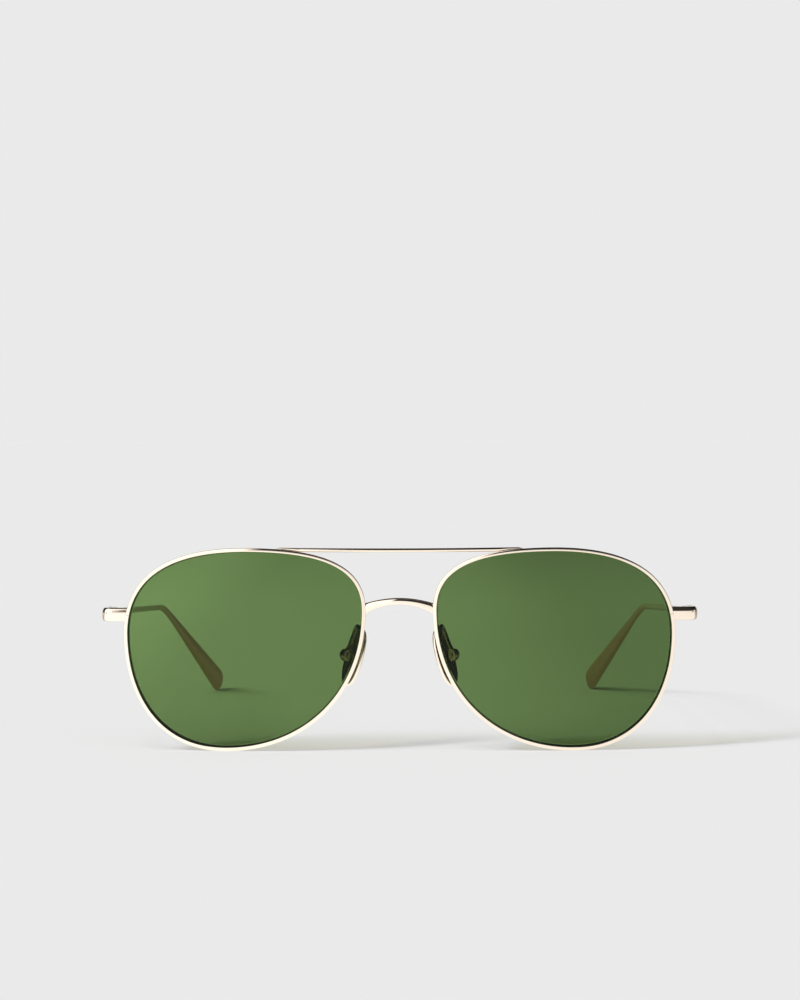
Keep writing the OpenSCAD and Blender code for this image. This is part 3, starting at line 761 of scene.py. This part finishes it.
def temple(side):
    """A thin arm that narrows behind the hinge, bends down and widens to a paddle with a blunt end."""
    # Each station is a point, a direction, a height and a thickness
    stations = []
    for a in np.linspace(0, math.pi / 2, EASE_RINGS):
        point = arm_start + END_EASE * (1 - math.cos(a)) * arm_dir
        shrink = 2 * END_EASE * (1 - math.sin(a))
        stations.append((point, arm_dir, JOINT_H - shrink, END_T - shrink))
    for u in np.linspace(TEMPLE_START, 1, TAPER_RINGS):
        point = arm_start + u * ARM_TAPER * arm_dir
        k = smooth(u)
        stations.append((point, arm_dir, blend(JOINT_H, ARM_H, k), blend(END_T, ARM_T, k)))
    for u in np.linspace(0, 1, ARM_RINGS)[1:]:
        reach = blend(ARM_TAPER, ARM_LEN - BEND_REACH, u)
        stations.append((arm_start + reach * arm_dir, arm_dir, ARM_H, ARM_T))
    for t in np.linspace(0, 1, BEND_RINGS)[1:]:
        direction = unit(blend(arm_dir, tip_dir, t))
        stations.append((bend_curve(t), direction, blend(ARM_H, BEND_H, t), ARM_T))
    tip_round = TIP_H / 2
    swell = TIP_LEN - BEND_REACH - tip_round
    for u in np.linspace(0, 1, PADDLE_RINGS)[1:]:
        point = bend_pt + (BEND_REACH + u * (swell - TIP_INSIDE)) * tip_dir
        stations.append((point, tip_dir, blend(BEND_H, TIP_H, u), blend(ARM_T, TIP_T, u)))
    for a in np.radians(np.linspace(0, TIP_LAST, TIP_RINGS))[1:]:
        along = math.sin(a) ** (2 / TIP_POWER)
        across = math.cos(a) ** (2 / TIP_POWER)
        point = tip_end - (tip_round * (1 - along) + TIP_INSIDE) * tip_dir
        stations.append((point, tip_dir, TIP_H * across, TIP_T * math.sqrt(across)))
    rings = []
    for i, (point, direction, h, t) in enumerate(stations):
        power = blend(END_POWER, TEMPLE_POWER, smooth(i / POWER_RINGS))
        rings.append(ring_at(point, direction, section(t, h, power, TEMPLE_POINTS)))
    # The first rings stand square to the end piece
    for i in range(EASE_RINGS):
        rings[i] = slid(rings[i], arm_dir, stations[i][0], np.array([0, 1.0, 0]))
    piece = loft(f"{side}_temple_arm", rings, side)
    return dress(piece, temple_gold, "frame", f"{side}_temple", f"{side}_temple")


# Nose pads


def nose_pad(side):
    """An oval plate with a rolled edge, slightly dished behind."""
    mid = -PAD_AXIS - PAD_T / 2
    half = PAD_T / 2
    # From the middle of the back to the middle of the contact face: inset of the outline and height
    profile = [(inset, half - dish) for inset, dish in PAD_DISH]
    for a in np.radians(np.linspace(*PAD_TURN, PAD_EDGE_RINGS)):
        profile.append((half * PAD_ROLL * (1 - math.cos(a)), half * math.sin(a)))
    profile += [(inset, -half) for inset in PAD_FACE]
    rings = []
    for inset, height in profile:
        oval = section(PAD_W - 2 * inset, PAD_LEN - 2 * inset, PAD_POWER, PAD_POINTS)
        rings.append(on_pad(np.column_stack([oval, np.full(len(oval), mid + height)])))
    deepest = PAD_DISH[0][1]
    poles = [on_pad(np.array([0, 0, mid + height])) for height in (half - deepest, -half)]
    piece = domed(f"{side}_pad_plate", rings, poles, side)
    return dress(piece, pad_gold, "pad", f"{side}_pad", f"{side}_nose_pad")


def pad_lug(side):
    """The lug behind the pad: a round eye on a short tab."""
    count = LUG_POINTS
    a = np.linspace(0, 2 * math.pi, count, endpoint=False)
    eye = np.stack([np.cos(a), np.sin(a)], -1)
    outer = eye * LUG_R
    foot = -PAD_AXIS - LUG_SUNK
    below = outer[:, 1] < 0
    outer[below, 1] = foot
    outer[below, 0] = np.interp(eye[below, 0], [-1, 1], [-LUG_R, LUG_R])
    hole = eye * (PAD_SCREW_R + TURN_GAP)
    ease = LUG_EASE
    half = LUG_T / 2
    loop = [
        (hole, -half + ease, 0), (hole, half - ease, 0), (hole, half, ease), (outer, half, -ease),
        (outer, half - ease, 0), (outer, ease - half, 0), (outer, -half, -ease), (hole, -half, ease),
    ]
    rings = []
    for flat, x, grow in loop:
        grown = flat + grow * eye
        rings.append(on_pad(np.column_stack([np.full(count, x), grown[:, 0], grown[:, 1]])))
    rings = np.array(rings)
    faces = joined_rings(count, len(rings))
    last = (len(rings) - 1) * count
    faces += [[last + j, last + (j + 1) % count, (j + 1) % count, j] for j in range(count)]
    piece = shape(f"{side}_pad_lug", rings.reshape(-1, 3), faces, side, SMALL_SHARP)
    return dress(piece, pad_gold, "pad", f"{side}_pad", f"{side}_nose_pad")


def pad_arm(side):
    """A looped wire from the back of the rim to the top of the pad box, with solder at its foot."""
    back = unit(rim_pt(ARM_FOOT_AT, 0.0, 1.0) - rim_pt(ARM_FOOT_AT, 0.0, 0.0))
    foot = rim_pt(ARM_FOOT_AT, (RIM_IN + RIM_OUT) / 2, RIM_D / 2)
    seat = on_pad(np.array([0, BOX_R, 0]))
    route = np.array([
        foot - WIRE_SINK * back,
        foot + WIRE_BACK * back + np.array([0, 0, WIRE_RISE]),
        seat + WIRE_RISE * (pad_y - WIRE_TUCK * pad_z),
        seat - WIRE_SINK * pad_y,
    ])
    rings = []
    for t in np.linspace(0, 1, WIRE_RINGS):
        at_foot = 1 - smooth(t / WIRE_SWELL_SHARE)
        at_box = 1 - smooth((1 - t) / WIRE_SWELL_SHARE)
        swell = WIRE_FOOT_SWELL * at_foot + WIRE_BOX_SWELL * at_box
        flat = section(WIRE_D + swell, WIRE_D + swell, 2, WIRE_POINTS)
        rings.append(ring_at(cubic(route, t), unit(cubic_slope(route, t)), flat))
    piece = loft(f"{side}_pad_wire", rings, side)
    # The wire takes the painted shade of the dark mount gold
    return dress(piece, shaded_mount_gold, "frame", "front", f"{side}_pad_arm")


# Everything together

bridge()
top_bar()
for side in SIDES:
    rim(side)
    lens(side)
    end_piece(side)
    temple(side)
    nose_pad(side)
    pad_lug(side)
    pad_arm(side)
    # The frame's small solids, with the width of their broken edges
    small = [
        ("rim_lock_upper", "frame", "front", frame_gold, 0.12),
        ("rim_lock_lower", "frame", "front", frame_gold, 0.12),
        ("rim_lock_screw", "screw", "front", screw_gold, 0.05),
        ("front_hinge", "frame", "front", frame_gold, 0.08),
        ("temple_hinge", "frame", f"{side}_temple", frame_gold, 0.08),
        ("hinge_screw", "screw", "front", screw_gold, 0.06),
        # The pad box and its screw take the painted shade of the dark mount gold
        ("pad_box", "frame", "front", shaded_mount_gold, 0.22),
        ("pad_screw", "screw", "front", shaded_mount_gold, 0.05),
    ]
    for part, slot, body, material, width in small:
        piece = softened(f"{side}_{part}_eased", f"{side}_{part}", width)
        dress(piece, material, slot, body, f"{side}_{part}")


# Stage: a pale table, an even background and a tall lamp at the front left

BACKGROUND = 0.823
EVEN_GREY = (BACKGROUND, BACKGROUND, BACKGROUND, 1)
# The table: its paint, half its width in metres, its grain, and how far the camera sees its shadows lightened
FLOOR_PAINT = 0.8
FLOOR_HALF = 4.0
GRAIN_SCALE = 1500
GRAIN = (0.997, 1.003)
SHADOW_LIFT = 0.48
# Strengths of the dome, of the lamp and of what the metal mirrors
DOME = 0.6
KEY_LIGHT = 2.1
MIRRORED = 1.7
# The way the lamp's light goes over the table, and how wide each of its suns is
KEY_SIDE, KEY_BACK = 0.8, 0.6
KEY_SPREAD = math.radians(10)
# Each sun's reach over the table for one step down, and its share of the light
KEY_SUNS = ((1.3, 0.34), (1.0, 0.28), (0.68, 0.22), (0.36, 0.16))

# The table as the glass shows it, its paint carrying painted light and shade: reaches in metres across and away,
# and shares of its colour there, brighter on the left and darker on the right, and darker near the front of the
# glasses and far away
GLASS_ACROSS = (-0.12, 0.12)
GLASS_AWAY = (-0.1, 1)
GLASS_LIGHT_SLOPE = ((0.05, 1.3), (0.25, 1.03), (0.55, 0.97), (0.8, 0.73))
GLASS_SHADE_FADE = ((0.03, 0.91), (0.13, 1.0), (0.41, 1.0), (0.82, 0.85))

# The table as the metal mirrors it, a glow with no shadows of its own: levels across it in front, by the temple
# tips, where a lower level is a painted shadow of the tips, and beyond them
TABLE_REACH = (-0.2, 0.2)
FRONT_GLOW = ((0.25, 0.78), (0.7, 0.62))
TIPS_SHADOW_GLOW = ((0.38, 0.3), (0.5, 0.42), (0.65, 0.28))
BEYOND_GLOW = ((0.3, 0.42), (0.7, 0.24))
TIPS_TO_BEYOND = ((0.74, 0.0), (0.9, 1.0))
FRONT_TO_TIPS = ((0.34, 0.0), (0.46, 1.0))

# The room as the metal mirrors it: levels round it, from the back over the left and the front, and upwards
LEFT_WALL = ((0.22, 0.0), (0.26, 0.8), (0.275, 0.7), (0.3, 0.2), (0.32, 0.2), (0.345, 0.75), (0.45, 0.7))
RIGHT_WALL = ((0.55, 0.6), (0.65, 0.55), (0.675, 0.2), (0.7, 0.2), (0.725, 0.5), (0.76, 0.5), (0.82, 0.0))
BACK_WALL = ((0.0, 0.42), (0.1, 0.5), (0.15, 0.02), (0.85, 0.02), (0.9, 0.3), (1.0, 0.42))
WALL_TOP = ((0.1, 1.0), (0.2, 0.03))
BACK_TOP = ((0.2, 1.0), (0.45, 0.05))
LAMP_ROUND = ((0.23, 0.0), (0.26, 0.82), (0.472, 0.82), (0.484, 0.0))
LAMP_UP = ((0.05, 0.0), (0.1, 1.0), (0.86, 1.0), (0.94, 0.0))

# The dome that lights the table: levels upwards, and from the front to the back
DOME_UP = ((0.0, 0.5), (0.7, 1.0))
DOME_BACK = ((0.3, 1.0), (0.7, 0.3))


def backdrop(tree, color=None, strength=1.0):
    made = tree.nodes.new("ShaderNodeBackground")
    made.inputs["Strength"].default_value = strength
    if color is not None:
        tree.links.new(color, made.inputs["Color"])
    return made


def reckoned(tree, operation, a, b):
    """A Math node of two inputs, each a socket or a number."""
    made = tree.nodes.new("ShaderNodeMath")
    made.operation = operation
    for socket, value in zip(made.inputs, (a, b)):
        if isinstance(value, (int, float)):
            socket.default_value = value
        else:
            tree.links.new(value, socket)
    return made.outputs["Value"]


def chosen(tree, factor, a, b):
    made = tree.nodes.new("ShaderNodeMixShader")
    tree.links.new(factor, made.inputs[0])
    tree.links.new(a.outputs[0], made.inputs[1])
    tree.links.new(b.outputs[0], made.inputs[2])
    return made


def ramp(tree, value, *stops):
    """Grey levels that ease from stop to stop of a value between 0 and 1."""
    made = tree.nodes.new("ShaderNodeValToRGB")
    made.color_ramp.interpolation = "EASE"
    elements = made.color_ramp.elements
    while len(elements) < len(stops):
        elements.new(0.5)
    for element, (position, level) in zip(elements, stops):
        element.position = position
        element.color = (level, level, level, 1)
    tree.links.new(value, made.inputs["Fac"])
    return made.outputs["Color"]


def mirrored_rays(tree, path):
    """One for rays that a metal face has thrown back, whether or not they then pass the glass."""
    passing = path.outputs["Is Transmission Ray"]
    straight = reckoned(tree, "SUBTRACT", path.outputs["Is Glossy Ray"], passing)
    again = reckoned(tree, "MULTIPLY", passing, path.outputs["Glossy Depth"])
    both = reckoned(tree, "MAXIMUM", straight, again)
    return reckoned(tree, "GREATER_THAN", both, 0.5)


def table():
    """A wide pale table with a barely visible paper grain. Through the glass its paint carries painted light and
    shade, a little brighter on the left; in the metal's mirror image it is a glow, bright in front and darker
    behind, with a painted shadow by the temple tips."""
    mesh = bpy.data.meshes.new("table")
    h = FLOOR_HALF
    mesh.from_pydata([(-h, -h, 0), (h, -h, 0), (h, h, 0), (-h, h, 0)], [], [(0, 1, 2, 3)])
    floor = bpy.data.objects.new("table", mesh)
    bpy.context.scene.collection.objects.link(floor)
    material, tree, output = new_material("table_paper")
    path = tree.nodes.new("ShaderNodeLightPath")
    shader = node(tree, "ShaderNodeBsdfPrincipled", Roughness=1.0)
    shader.inputs["Specular IOR Level"].default_value = 0.0
    where = tree.nodes.new("ShaderNodeTexCoord").outputs["Object"]
    split = tree.nodes.new("ShaderNodeSeparateXYZ")
    tree.links.new(where, split.inputs["Vector"])
    grain = noise(tree, where, GRAIN_SCALE, 4)
    shades = [(FLOOR_PAINT * k,) * 3 for k in GRAIN]
    paper = mixed(tree, grain, *shades)
    # Painted light and shade: the paint that the glass shows is brighter on the left, darker on the right, and
    # darker near the front and far away
    slope = ramp(tree, ranged(tree, split.outputs["X"], 0, 1, *GLASS_ACROSS), *GLASS_LIGHT_SLOPE)
    shade_fade = ramp(tree, ranged(tree, split.outputs["Y"], 0, 1, *GLASS_AWAY), *GLASS_SHADE_FADE)
    shaded = layered(tree, "MULTIPLY", slope, shade_fade)
    seen = layered(tree, "MULTIPLY", paper, shaded, path.outputs["Is Transmission Ray"])
    tree.links.new(seen, shader.inputs["Base Color"])
    wide = ranged(tree, split.outputs["X"], 0, 1, *TABLE_REACH)
    depth = ranged(tree, split.outputs["Y"], 0, 1, *TABLE_REACH)
    # The lower level by the temple tips is a painted shadow of the tips, seen only in the metal
    front, tips_shadow, beyond = (ramp(tree, wide, *stops) for stops in (FRONT_GLOW, TIPS_SHADOW_GLOW, BEYOND_GLOW))
    behind = layered(tree, "MIX", tips_shadow, beyond, ramp(tree, depth, *TIPS_TO_BEYOND))
    bright = layered(tree, "MIX", front, behind, ramp(tree, depth, *FRONT_TO_TIPS))
    glow = tree.nodes.new("ShaderNodeEmission")
    tree.links.new(bright, glow.inputs["Color"])
    glow.inputs["Strength"].default_value = MIRRORED
    even = tree.nodes.new("ShaderNodeEmission")
    even.inputs["Color"].default_value = EVEN_GREY
    lightened = reckoned(tree, "MULTIPLY", path.outputs["Is Camera Ray"], SHADOW_LIFT)
    plain = chosen(tree, lightened, shader, even)
    lit = chosen(tree, mirrored_rays(tree, path), plain, glow)
    tree.links.new(lit.outputs[0], output.inputs["Surface"])
    mesh.materials.append(material)


def room():
    """The metal mirrors a large lamp on the left, pale walls near the table and a dark room above them.
    The camera and the glass see one even grey, and a soft dome, brighter in front, lights the table."""
    world = bpy.data.worlds.new("room")
    bpy.context.scene.world = world
    world.use_nodes = True
    tree = world.node_tree
    tree.nodes.clear()
    output = tree.nodes.new("ShaderNodeOutputWorld")
    where = tree.nodes.new("ShaderNodeTexCoord").outputs["Generated"]
    split = tree.nodes.new("ShaderNodeSeparateXYZ")
    tree.links.new(where, split.inputs["Vector"])
    up = split.outputs["Z"]
    # Round the room: 0 and 1 at the back, with the left, the front and the right between them
    ahead = reckoned(tree, "MULTIPLY", split.outputs["Y"], -1)
    angle = reckoned(tree, "ARCTAN2", split.outputs["X"], ahead)
    around = ranged(tree, angle, 0, 1, -math.pi, math.pi)
    front = ramp(tree, around, *LEFT_WALL, *RIGHT_WALL)
    low_front = layered(tree, "MULTIPLY", front, ramp(tree, up, *WALL_TOP))
    behind = ramp(tree, around, *BACK_WALL)
    low_behind = layered(tree, "MULTIPLY", behind, ramp(tree, up, *BACK_TOP))
    low = layered(tree, "LIGHTEN", low_front, low_behind)
    lamp = layered(tree, "MULTIPLY", ramp(tree, around, *LAMP_ROUND), ramp(tree, up, *LAMP_UP))
    mirrored = backdrop(tree, layered(tree, "LIGHTEN", low, lamp), MIRRORED)
    depth = ranged(tree, split.outputs["Y"], 0, 1, -1, 1)
    soft = layered(tree, "MULTIPLY", ramp(tree, up, *DOME_UP), ramp(tree, depth, *DOME_BACK))
    dome = backdrop(tree, soft, DOME)
    seen = backdrop(tree)
    seen.inputs["Color"].default_value = EVEN_GREY
    path = tree.nodes.new("ShaderNodeLightPath")
    camera_ray, passing = path.outputs["Is Camera Ray"], path.outputs["Is Transmission Ray"]
    plain = chosen(tree, reckoned(tree, "MAXIMUM", camera_ray, passing), dome, seen)
    whole = chosen(tree, mirrored_rays(tree, path), plain, mirrored)
    tree.links.new(whole.outputs[0], output.inputs["Surface"])


def key_light():
    """A tall narrow lamp at the front left, as a fan of suns one above the other: shadows keep a clear
    front edge and fade towards the back. The metal mirrors the room's lamp in its place."""
    for i, (reach, share) in enumerate(KEY_SUNS):
        lamp = bpy.data.lights.new(f"key_{i}", "SUN")
        lamp.energy = KEY_LIGHT * share * math.hypot(1, reach)
        lamp.angle = KEY_SPREAD
        holder = bpy.data.objects.new(f"key_{i}", lamp)
        holder.rotation_mode = "QUATERNION"
        shines = Vector((reach * KEY_SIDE, reach * KEY_BACK, -1))
        holder.rotation_quaternion = shines.to_track_quat("-Z", "Y")
        holder.visible_glossy = False
        holder.visible_transmission = False
        bpy.context.scene.collection.objects.link(holder)


# Camera, found by fitting the rims, temples and end pieces to the photograph, with clipping in metres
CAMERA_FROM = (-0.4, -770.0, 88.0)
CAMERA_PITCH = math.radians(2.246)
CAMERA_TURN = math.radians(0.525)
CAMERA_ROLL = math.radians(-0.179)
FOCAL_PX = 2913.5
PHOTO_W = 800
SENSOR = 36.0
CLIP = (0.01, 50)


def camera():
    data = bpy.data.cameras.new("camera")
    data.sensor_fit = "HORIZONTAL"
    data.sensor_width = SENSOR
    data.lens = SENSOR * FOCAL_PX / PHOTO_W
    data.clip_start, data.clip_end = CLIP
    holder = bpy.data.objects.new("camera", data)
    turn = Matrix.Rotation(CAMERA_TURN, 4, "Z")
    place = Matrix.Translation(Vector(CAMERA_FROM) * MM)
    tilt = Matrix.Rotation(math.pi / 2 - CAMERA_PITCH, 4, "X")
    roll = Matrix.Rotation(CAMERA_ROLL, 4, "Z")
    holder.matrix_world = turn @ place @ tilt @ roll
    bpy.context.scene.collection.objects.link(holder)
    bpy.context.scene.camera = holder


table()
room()
key_light()
camera()
bpy.context.scene.view_settings.view_transform = "Standard"
